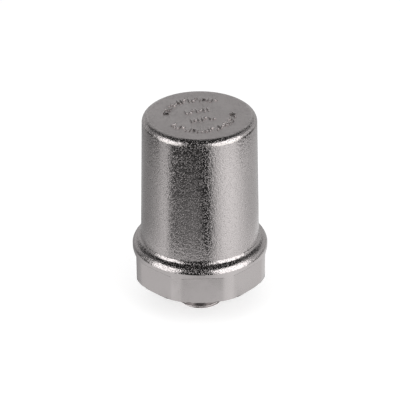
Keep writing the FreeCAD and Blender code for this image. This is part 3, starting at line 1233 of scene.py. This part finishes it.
@dataclass
class Bell:
    """Forged bell with its octagon collar, bored out from below.

    Attributes:
        columns: Number of columns round the axis.
        shoulder_w: How far the shoulder stands out from the wall.
        shoulder_angle_deg: Slope of the shoulder above the horizontal.
        brow_h: Height of the steep brow between the collar's rim and the shoulder.
        brow_angle_deg: Slope of the brow above the horizontal.
        brow_round: Radius where the brow meets the shoulder.
        foot_round: Radius where the shoulder meets the wall.
        collar_h: Height of the collar, up to its rim.
        collar_draft: Taper of the collar.
        collar_chamfer: Width and height of the chamfer under the collar.
        land_h: Height of the round land above the flats.
        flat_count: Number of wrench flats.
        flat_depth: How deep the flats lie in the collar.
        runout_deg: Angle of each flat's run-out into the land.
        runout_rows: Number of mesh rows over the run-outs.
        edge_blend: Rounding of the flats' edges.
        rim_slack: How far from the rim a mesh point may lie that still counts as on it.
        runout_press: How far a face is pressed in where it counts as part of a run-out.
        flat_press: How far a face is pressed in where it counts as part of a flat.
        top_round: Radius of the top edge.
        edge_h: Height of the band of deeper grain on the top edge.
        crown_slack: How far from the top a face may lie that still counts as part of it.
        draft_deg: Draft of the wall.
        roof: Thickness of the roof.
        roof_round: Radius between the roof and the spring chamber.
        bore_r: Radius of the piston's bore.
        chamber_r: Radius of the spring chamber.
        mouth_r: Radius of the mouth.
        mouth_h: Depth of the mouth.
        mouth_chamfer: Chamfer at the mouth.
        mouth_margin: How much wider than the mouth and its chamfer the inside is taken to be.
        lead_in: Width and height of the slope that leads the seals into the bore.
        stop_gap: Room left between the lifted piston and its stop.
    """

    columns: int = 576
    shoulder_w: float = 3.65 * MM
    shoulder_angle_deg: float = 22.5
    brow_h: float = 1.95 * MM
    brow_angle_deg: float = 75.0
    brow_round: float = 3.9 * MM
    foot_round: float = 2.4 * MM
    collar_h: float = 14.4 * MM
    collar_draft: float = 0.25 * MM
    collar_chamfer: tuple[float, float] = (0.8 * MM, 0.5 * MM)
    land_h: float = 2.5 * MM
    flat_count: int = 8
    flat_depth: float = 1.45 * MM
    runout_deg: float = 60.0
    runout_rows: int = 14
    edge_blend: float = 0.28 * MM
    rim_slack: float = 0.01 * MM
    runout_press: float = 0.014 * MM
    flat_press: float = 0.07 * MM
    top_round: float = 3.0 * MM
    edge_h: float = 3.3 * MM
    crown_slack: float = 0.02 * MM
    draft_deg: float = 1.25
    roof: float = 4.0 * MM
    roof_round: float = 1.5 * MM
    bore_r: float = 21.0 * MM
    chamber_r: float = 18.8 * MM
    mouth_r: float = 23.0 * MM
    mouth_h: float = 10.5 * MM
    mouth_chamfer: float = 1.0 * MM
    mouth_margin: float = 0.05 * MM
    lead_in: tuple[float, float] = (0.8 * MM, 1.6 * MM)
    stop_gap: float = 0.02 * MM

    def __post_init__(self) -> None:
        """Takes the bell's reach and ends from the solid that it stands for."""
        low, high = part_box("bell_casing")
        self.rim_r = high.x
        self.foot_z = low.z
        self.top_z = high.z
        self.roof_z = self.top_z - self.roof
        self.stop_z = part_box("piston")[1].z + STROKE + self.stop_gap
        self.rim_z = self.foot_z + self.collar_h
        self.flats_z = self.rim_z - self.land_h
        self.wall_foot_r = self.rim_r - self.shoulder_w
        self.apothem = self.rim_r - self.flat_depth
        self.inner_edge_r = self.mouth_r + self.mouth_chamfer + self.mouth_margin

    def collar_r(self, z: float) -> float:
        """Radius of the round collar at a height."""
        share = (z - self.foot_z) / self.collar_h
        return self.rim_r - self.collar_draft * (1 - share)

    def inside(self) -> list[Corner]:
        """Draws the inside.

        Returns:
            Its outline, from the roof's centre, down the chamber and the bore, to the mouth.
        """
        step_z = self.foot_z + self.mouth_h
        lead_w, lead_h = self.lead_in
        return [
            Corner(0, self.roof_z),
            Corner(self.chamber_r, self.roof_z, self.roof_round),
            Corner(self.chamber_r, self.stop_z),
            Corner(self.bore_r, self.stop_z),
            Corner(self.bore_r, step_z + lead_h),
            Corner(self.bore_r + lead_w, step_z),
            Corner(self.mouth_r, step_z),
            Corner(self.mouth_r, self.foot_z + self.mouth_chamfer),
            Corner(self.mouth_r + self.mouth_chamfer, self.foot_z),
        ]

    def outside(self) -> list[Corner]:
        """Draws the outside, with close rows where the flats' run-outs come.

        Returns:
            Its outline, from under the collar, over the shoulder and up the wall to the top.
        """
        brow_z = self.rim_z + self.brow_h
        brow_r = self.rim_r - self.brow_h / math.tan(math.radians(self.brow_angle_deg))
        slope = math.tan(math.radians(self.shoulder_angle_deg))
        foot_corner_z = brow_z + (brow_r - self.wall_foot_r) * slope
        draft = math.tan(math.radians(self.draft_deg))
        top_r = self.wall_foot_r - (self.top_z - foot_corner_z) * draft
        foot_r = self.collar_r(self.foot_z)
        chamfer_w, chamfer_h = self.collar_chamfer
        runout_h = self.flat_depth / math.tan(math.radians(self.runout_deg))
        low_z = self.flats_z - self.edge_blend
        high_z = self.flats_z + runout_h + self.edge_blend
        rows = []
        for row in range(self.runout_rows + 1):
            z = low_z + (high_z - low_z) * row / self.runout_rows
            rows.append(Corner(self.collar_r(z), z))
        return [
            Corner(foot_r - chamfer_w, self.foot_z),
            Corner(foot_r, self.foot_z + chamfer_h),
            *rows,
            Corner(self.rim_r, self.rim_z),
            Corner(brow_r, brow_z, self.brow_round),
            Corner(self.wall_foot_r, foot_corner_z, self.foot_round),
            Corner(top_r, self.top_z, self.top_round),
            Corner(0, self.top_z),
        ]

    def press_flats(self, piece: Piece) -> None:
        """Presses the wrench flats and their run-outs into the round collar.

        Args:
            piece: The bell's mesh object.
        """
        sector = math.tau / self.flat_count
        rise = math.tan(math.radians(self.runout_deg))
        for vertex in piece.data.vertices:
            x, y, z = vertex.co
            radius = math.hypot(x, y)
            if z > self.rim_z or radius < self.inner_edge_r:
                continue
            off = (math.atan2(y, x) + sector / 2) % sector - sector / 2
            reach = self.apothem + max(0.0, z - self.flats_z) * rise
            set_radius(vertex, soft_min(radius, reach / math.cos(off), self.edge_blend))

    def sharpen_rim(self, piece: Piece) -> None:
        """Marks the edge between the collar's land and the brow, so that it is shaded as one.

        Args:
            piece: The bell's mesh object.
        """
        on_rim = []
        for vertex in piece.data.vertices:
            x, y, z = vertex.co
            on_rim.append(abs(z - self.rim_z) < self.rim_slack and math.hypot(x, y) > self.apothem)
        for edge in piece.data.edges:
            edge.use_edge_sharp = all(on_rim[number] for number in edge.vertices)

    def band_at(self, place: Vector) -> Band:
        """Finds the finish of a face.

        Args:
            place: Its centre.

        Returns:
            The band that it is part of.
        """
        radius, z = math.hypot(place.x, place.y), place.z
        if radius < self.inner_edge_r and z < self.roof_z + self.roof / 2:
            return Band.BORED
        if abs(z - self.top_z) < self.crown_slack:
            return Band.CROWN
        if self.top_z - self.edge_h < z < self.top_z:
            return Band.EDGE
        if z > self.rim_z:
            return Band.FORGED
        pressed = self.collar_r(z) - radius
        # Run-out faces get the dark painted shade under the land's edge.
        if z > self.flats_z and pressed > self.runout_press:
            return Band.RUNOUT_SHADE
        return Band.FLATS if pressed > self.flat_press else Band.TURNED

    def build(self, finishes: Finishes) -> list[Piece]:
        """Makes the bell with its raised marks.

        Args:
            finishes: The materials by name.

        Returns:
            The bell alone.
        """
        piece = spun("bell", [*self.inside(), *self.outside()], self.columns, False, 6)
        self.press_flats(piece)
        self.sharpen_rim(piece)
        smooth(piece)
        TopMarks().add_to(piece, self.top_z)
        bands = list(Band)
        for face in piece.data.polygons:
            face.material_index = bands.index(self.band_at(face.center))
        skins = [finishes[band.value] for band in bands]
        return [hand_over(piece, HOUSING, "bell_casing", skins)]


@dataclass
class ConnectorBase:
    """Turned base with its threaded spigot, screwed disc, sealing neck and piston ledge.

    Attributes:
        columns: Number of columns round the axis.
        thread_r: Radius over the thread's crests.
        thread_pitch: Pitch of the thread.
        thread_depth: Depth of the thread.
        thread_blend: Rounding of its crests and roots.
        crest_lift: How far sharp crests would stand above the real ones, in pitches.
        flank_slope: Rise of a flank for each length along the axis.
        row_step: Distance between the mesh rows on the thread.
        relief_z: Start of the relief groove above the thread.
        relief_round: Radius in the corners of that groove.
        chamfer: Chamfer at the spigot's end.
        chamfer_rows: Number of mesh rows on it.
        water_r: Radius of the water bore.
        disc_z: Height of the disc's underside.
        disc_chamfer: Chamfer under the disc.
        step_z: Height where the neck starts.
        neck_r: Radius of the neck.
        neck_chamfer: Chamfer at the ledge.
        groove_z: Start and end of the seal's groove.
        groove_r: Radius at the groove's bottom.
        recess_r: Radius of the recess under the piston.
        recess_h: Depth of that recess.
        recess_round: Radius at its bottom.
        hole_d: Diameter of the spanner holes.
        hole_depth: Depth of the spanner holes.
        hole_place_r: Distance of the spanner holes from the axis.
    """

    columns: int = 288
    thread_r: float = 10.4775 * MM
    thread_pitch: float = 1.814 * MM
    thread_depth: float = 1.162 * MM
    thread_blend: float = 0.22 * MM
    crest_lift: float = 0.16
    flank_slope: float = 1.921
    row_step: float = 0.15 * MM
    relief_z: float = 12.0 * MM
    relief_round: float = 0.4 * MM
    chamfer: float = 0.8 * MM
    chamfer_rows: int = 8
    water_r: float = 6.25 * MM
    disc_z: float = 14.5 * MM
    disc_chamfer: float = 0.8 * MM
    step_z: float = 24.5 * MM
    neck_r: float = 20.95 * MM
    neck_chamfer: float = 0.4 * MM
    groove_z: tuple[float, float] = (25.45 * MM, 28.05 * MM)
    groove_r: float = 19.45 * MM
    recess_r: float = 15.95 * MM
    recess_h: float = 3.0 * MM
    recess_round: float = 1.0 * MM
    hole_d: float = 5.0 * MM
    hole_depth: float = 4.5 * MM
    hole_place_r: float = 17.0 * MM

    def __post_init__(self) -> None:
        """Takes the disc's reach and the ledge's height from the solid that it stands for."""
        low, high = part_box("connector_base")
        self.end_z = low.z
        self.disc_r = high.x
        self.ledge_z = high.z
        self.root_r = self.thread_r - self.thread_depth

    def outline(self) -> list[Corner]:
        """Draws the base, with close rows along the thread.

        Returns:
            Its outline, from the bore's lower end round the outside and back to the bore.
        """
        groove_low, groove_high = self.groove_z
        thread_h = self.relief_z - self.chamfer
        count = round(thread_h / self.row_step)
        rows = [
            Corner(self.thread_r, self.chamfer + thread_h * row / count) for row in range(count + 1)
        ]
        chamfer_rows = []
        for row in range(self.chamfer_rows):
            share = row / self.chamfer_rows
            radius = self.thread_r - self.chamfer * (1 - share)
            chamfer_rows.append(Corner(radius, self.end_z + self.chamfer * share))
        return [
            Corner(self.water_r, self.end_z),
            *chamfer_rows,
            *rows,
            Corner(self.root_r, self.relief_z + self.thread_depth, self.relief_round),
            Corner(self.root_r, self.disc_z, self.relief_round),
            Corner(self.disc_r - self.disc_chamfer, self.disc_z),
            Corner(self.disc_r, self.disc_z + self.disc_chamfer),
            Corner(self.disc_r, self.step_z),
            Corner(self.neck_r, self.step_z),
            Corner(self.neck_r, groove_low),
            Corner(self.groove_r, groove_low),
            Corner(self.groove_r, groove_high),
            Corner(self.neck_r, groove_high),
            Corner(self.neck_r, self.ledge_z - self.neck_chamfer),
            Corner(self.neck_r - self.neck_chamfer, self.ledge_z),
            Corner(self.recess_r, self.ledge_z),
            Corner(self.recess_r, self.ledge_z - self.recess_h, self.recess_round),
            Corner(self.water_r, self.ledge_z - self.recess_h),
        ]

    def thread_surface(self, angle: float, z: float) -> float:
        """Finds the surface of the right-hand thread.

        Args:
            angle: Angle about the axis.
            z: Height.

        Returns:
            Its distance from the axis there.
        """
        turn = z / self.thread_pitch - angle / math.tau
        off = abs((turn + 0.5) % 1 - 0.5) * self.thread_pitch
        sharp = self.thread_r + self.crest_lift * self.thread_pitch - off * self.flank_slope
        crest = soft_min(self.thread_r, sharp, self.thread_blend)
        return -soft_min(-crest, -self.root_r, self.thread_blend)

    def cut_thread(self, piece: Piece) -> None:
        """Moves the spigot's outside down to the thread's surface.

        Args:
            piece: The base's mesh object.
        """
        for vertex in piece.data.vertices:
            x, y, z = vertex.co
            radius = math.hypot(x, y)
            if z > self.relief_z + self.thread_depth or radius < self.water_r + self.relief_round:
                continue
            set_radius(vertex, min(radius, self.thread_surface(math.atan2(y, x), z)))

    def drill_holes(self, piece: Piece) -> None:
        """Drills the two blind holes that a pin spanner takes hold of.

        Args:
            piece: The base's mesh object.
        """
        for side in (-1, 1):
            clear_selection()
            bpy.ops.mesh.primitive_cylinder_add(
                vertices=48,
                radius=self.hole_d / 2,
                depth=2 * self.hole_depth,
                location=(side * self.hole_place_r, 0, self.disc_z),
            )
            drill = bpy.context.object
            apply_modifier(piece, "BOOLEAN", operation="DIFFERENCE", solver="EXACT", object=drill)
            bpy.data.objects.remove(drill)

    def build(self, finishes: Finishes) -> list[Piece]:
        """Makes the base.

        Args:
            finishes: The materials by name.

        Returns:
            The base alone.
        """
        piece = spun("threaded_base", self.outline(), self.columns)
        self.cut_thread(piece)
        self.drill_holes(piece)
        smooth(piece, 40)
        skin = finishes[Band.TURNED.value]
        return [hand_over(piece, HOUSING, "connector_base", [skin])]


@dataclass
class Coil:
    """Compression spring with close end coils and ends ground flat.

    Attributes:
        wire_d: Diameter of the wire.
        end_turns: Number of close turns at each end.
        active_turns: Number of turns between them.
        end_gap: Room between an end's turns.
        ground_share: Height of the wire's centre over the ground face, in wires.
        steps_per_turn: Number of mesh steps in a turn.
        wire_sides: Number of mesh sides round the wire.
    """

    wire_d: float = 4.5 * MM
    end_turns: float = 1.0
    active_turns: float = 4.0
    end_gap: float = 0.15 * MM
    ground_share: float = 0.35
    steps_per_turn: int = 72
    wire_sides: int = 28

    def __post_init__(self) -> None:
        """Takes the spring's place and room from the solid that it stands for."""
        low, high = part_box("spring")
        self.low_z = low.z
        self.high_z = high.z
        self.length = self.high_z - self.low_z
        self.mean_r = high.x - self.wire_d / 2
        self.turns = self.active_turns + 2 * self.end_turns
        self.even_pitch = 4 * self.wire_d

    def centre_z(self, turn: float) -> float:
        """Follows the wire upwards.

        Args:
            turn: How many turns to follow it.

        Returns:
            Height of its centre there.
        """
        start = self.ground_share * self.wire_d
        end_pitch = self.wire_d + self.end_gap
        active_rise = self.length - 2 * start - 2 * self.end_turns * end_pitch
        lower = min(turn, self.end_turns) * end_pitch
        share = min(max((turn - self.end_turns) / self.active_turns, 0), 1)
        upper = max(turn - self.end_turns - self.active_turns, 0) * end_pitch
        return self.low_z + start + lower + active_rise * share + upper

    def wind(self) -> Piece:
        """Winds the wire as an even, open helix, and then moves its turns to their heights.

        Returns:
            The open mesh object.
        """
        clear_selection()
        bpy.ops.mesh.primitive_circle_add(
            vertices=self.wire_sides,
            radius=self.wire_d / 2,
            location=(self.mean_r, 0, 0),
            rotation=(math.pi / 2, 0, 0),
        )
        piece = bpy.context.object
        piece.name = piece.data.name = "coil_spring"
        place_in_mesh(piece)
        steps = round(self.turns * self.steps_per_turn)
        apply_modifier(
            piece,
            "SCREW",
            angle=math.tau * self.turns,
            screw_offset=self.even_pitch * self.turns,
            steps=steps,
            render_steps=steps,
            use_merge_vertices=False,
        )
        for vertex in piece.data.vertices:
            x, y, z = vertex.co
            part = (math.atan2(y, x) / math.tau) % 1
            turn = max(0.0, round(z / self.even_pitch - part) + part)
            vertex.co.z = self.centre_z(turn) + z - turn * self.even_pitch
        return piece

    def grind(self, piece: Piece) -> None:
        """Closes the wire's ends and grinds both ends of the spring flat.

        Args:
            piece: The wound mesh object.
        """
        make_active(piece)
        bpy.ops.object.mode_set(mode="EDIT")
        face_outwards(fill=True)
        for z, side in ((self.low_z, -1), (self.high_z, 1)):
            bpy.ops.mesh.select_all(action="SELECT")
            bpy.ops.mesh.bisect(
                plane_co=(0, 0, z), plane_no=(0, 0, side), use_fill=True, clear_outer=True
            )
        bpy.ops.object.mode_set(mode="OBJECT")

    def build(self, finishes: Finishes) -> list[Piece]:
        """Makes the spring at the length of its solid.

        Args:
            finishes: The materials by name.

        Returns:
            The spring alone.
        """
        piece = self.wind()
        self.grind(piece)
        smooth(piece, 40)
        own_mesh(piece)
        slot = "spring_steel"
        return [hand_over(piece, HOUSING, "spring", [finishes[slot]])]


@dataclass
class SpringSeat:
    """Pressed washer under the roof, with a collar that centres the spring.

    Attributes:
        columns: Number of columns round the axis.
        thickness: Thickness of the strip that it is pressed from.
        bend_r: Inner radius of the bend.
        collar_r: Outer radius of the collar.
        edge_round: Radius of its edges.
    """

    columns: int = 192
    thickness: float = 1.5 * MM
    bend_r: float = 0.8 * MM
    collar_r: float = 11.75 * MM
    edge_round: float = 0.25 * MM

    def build(self, finishes: Finishes) -> list[Piece]:
        """Makes the seat.

        Args:
            finishes: The materials by name.

        Returns:
            The seat alone.
        """
        low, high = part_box("spring_seat")
        seat_z = high.z - self.thickness
        inner_r = self.collar_r - self.thickness
        outline = [
            Corner(high.x, seat_z, self.edge_round),
            Corner(high.x, high.z, self.edge_round),
            Corner(inner_r, high.z, self.thickness + self.bend_r),
            Corner(inner_r, low.z, self.edge_round),
            Corner(self.collar_r, low.z, self.edge_round),
            Corner(self.collar_r, seat_z, self.bend_r),
        ]
        piece = spun("pressed_seat", outline, self.columns)
        smooth(piece)
        slot = "pressed_steel"
        return [hand_over(piece, HOUSING, "spring_seat", [finishes[slot]])]


@dataclass
class PistonSet:
    """Piston with its two seals and its guide band, and the seal of the base's neck.

    Attributes:
        columns: Number of columns round the axis.
        groove_w: Width of the seals' grooves.
        groove_round: Radius at a groove's bottom.
        seal_groove_r: Radius at the bottom of the seals' grooves.
        guide_groove_r: Radius at the bottom of the guide band's groove.
        guide_w: Width of that groove.
        edge_land: Land between the piston's underside and its first groove.
        mid_land: Land between two grooves.
        edge_chamfer: Chamfer at the piston's outer edges.
        fillet: Radius in its inner corners.
        recess_r: Radius of the recess in its underside.
        recess_h: Depth of that recess.
        floor_t: Thickness of its floor.
        pocket_r: Radius of the pocket that the spring stands in.
        boss_r: Radius of the boss that centres the spring.
        boss_h: Height of the boss.
        boss_wall: Thickness of its wall.
        boss_chamfer: Chamfer on it.
        seal_share: How round a seal's section is, where 1 is a full half circle.
        split_w: Width of the guide band's split.
    """

    columns: int = 192
    groove_w: float = 3.4 * MM
    groove_round: float = 0.15 * MM
    seal_groove_r: float = 18.7 * MM
    guide_groove_r: float = 19.62 * MM
    guide_w: float = 4.2 * MM
    edge_land: float = 1.6 * MM
    mid_land: float = 1.9 * MM
    edge_chamfer: float = 0.8 * MM
    fillet: float = 0.8 * MM
    recess_r: float = 14.0 * MM
    recess_h: float = 1.5 * MM
    floor_t: float = 4.5 * MM
    pocket_r: float = 17.25 * MM
    boss_r: float = 11.75 * MM
    boss_h: float = 6.0 * MM
    boss_wall: float = 4.5 * MM
    boss_chamfer: float = 1.2 * MM
    seal_share: float = 0.98
    split_w: float = 0.8 * MM

    def __post_init__(self) -> None:
        """Takes the piston's reach and height from the solid that it stands for."""
        low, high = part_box("piston")
        self.low_z = low.z
        self.high_z = high.z
        self.piston_r = high.x

    def _groove(self, start_z: float, width: float, bottom_r: float) -> list[Corner]:
        """Draws one groove in the piston's side.

        Args:
            start_z: Height of its lower side.
            width: Its width.
            bottom_r: Radius at its bottom.

        Returns:
            Its outline.
        """
        return [
            Corner(self.piston_r, start_z),
            Corner(bottom_r, start_z, self.groove_round),
            Corner(bottom_r, start_z + width, self.groove_round),
            Corner(self.piston_r, start_z + width),
        ]

    def piston(self) -> Piece:
        """Makes the piston.

        Returns:
            The new mesh object.
        """
        recess_z = self.low_z + self.recess_h
        pocket_z = recess_z + self.floor_t
        boss_z = pocket_z + self.boss_h
        core_r = self.boss_r - self.boss_wall
        lower_z = self.low_z + self.edge_land
        upper_z = lower_z + self.groove_w + self.mid_land
        guide_z = upper_z + self.groove_w + self.mid_land
        outline = [
            Corner(0, recess_z),
            Corner(self.recess_r, recess_z, self.fillet),
            Corner(self.recess_r, self.low_z),
            Corner(self.piston_r - self.edge_chamfer, self.low_z),
            Corner(self.piston_r, self.low_z + self.edge_chamfer),
            *self._groove(lower_z, self.groove_w, self.seal_groove_r),
            *self._groove(upper_z, self.groove_w, self.seal_groove_r),
            *self._groove(guide_z, self.guide_w, self.guide_groove_r),
            Corner(self.piston_r, self.high_z - self.edge_chamfer),
            Corner(self.piston_r - self.edge_chamfer, self.high_z),
            Corner(self.pocket_r, self.high_z),
            Corner(self.pocket_r, pocket_z, self.fillet),
            Corner(self.boss_r, pocket_z, self.fillet),
            Corner(self.boss_r, boss_z - self.boss_chamfer),
            Corner(self.boss_r - self.boss_chamfer, boss_z),
            Corner(core_r, boss_z),
            Corner(core_r, pocket_z, self.fillet),
            Corner(0, pocket_z),
        ]
        piece = spun("cup_piston", outline, self.columns, ring=False)
        smooth(piece)
        return piece

    def ring(
        self, name: str, node: str, groove_r: float, round_share: float = 0.0
    ) -> Piece:
        """Makes one seal or band in a groove.

        Args:
            name: Name of the new object.
            node: Solid that it stands for.
            groove_r: Radius at the groove's bottom.
            round_share: How round its section is, where 1 is a full half circle at each side.

        Returns:
            The new mesh object, with a split on the +X side if its section is square.
        """
        low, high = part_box(node)
        inner_r = groove_r + SEAL_GAP
        round_r = (high.x - inner_r) / 2 * round_share
        gap = 0.0 if round_share else self.split_w * math.sqrt(2) / high.x
        outline = [
            Corner(inner_r, low.z, round_r),
            Corner(high.x, low.z, round_r),
            Corner(high.x, high.z, round_r),
            Corner(inner_r, high.z, round_r),
        ]
        piece = spun(name, outline, self.columns, angle=math.tau - gap)
        if gap:
            self.slant_split(piece, gap, (low.z + high.z) / 2, high.x)
        smooth(piece)
        return piece

    @staticmethod
    def slant_split(piece: Piece, gap: float, middle_z: float, outer_r: float) -> None:
        """Turns a band more the lower it goes, so that its split slants by 45 degrees.

        Args:
            piece: The band's mesh object.
            gap: Angle of the split.
            middle_z: Height of its middle.
            outer_r: Its outer radius.
        """
        for vertex in piece.data.vertices:
            x, y, z = vertex.co
            turn = math.atan2(y, x) + gap / 2 - (z - middle_z) / outer_r
            radius = math.hypot(x, y)
            vertex.co.x = radius * math.cos(turn)
            vertex.co.y = radius * math.sin(turn)

    def build(self, finishes: Finishes) -> list[Piece]:
        """Makes the neck's seal, the piston, its seals and its guide band.

        Args:
            finishes: The materials by name.

        Returns:
            The pieces in that order.
        """
        rubber, plastic, band = "seal_rubber", "piston_plastic", "guide_band"
        lower, upper, guide = "piston_o_ring_lower", "piston_o_ring_upper", "piston_guide_ring"
        neck_r, seal_r = ConnectorBase.groove_r, self.seal_groove_r
        neck = self.ring("neck_seal", "casing_o_ring", neck_r, self.seal_share)
        rows = (
            (neck, HOUSING, "casing_o_ring", rubber),
            (self.piston(), PISTON_SET, "piston", plastic),
            (self.ring("lower_seal", lower, seal_r, self.seal_share), PISTON_SET, lower, rubber),
            (self.ring("upper_seal", upper, seal_r, self.seal_share), PISTON_SET, upper, rubber),
            (self.ring("guide_band", guide, self.guide_groove_r), PISTON_SET, guide, band),
        )
        return [
            hand_over(piece, body, node, [finishes[slot]]) for piece, body, node, slot in rows
        ]


def main() -> None:
    """Builds the studio and every piece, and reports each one."""
    logging.basicConfig(level=logging.INFO, format="%(name)s %(message)s")
    Studio().build()
    finishes = make_finishes()
    for assembly in (Bell(), ConnectorBase(), Coil(), SpringSeat(), PistonSet()):
        for piece in assembly.build(finishes):
            log.info("%s: %d faces", piece.name, len(piece.data.polygons))


if __name__ == "__main__":
    main()
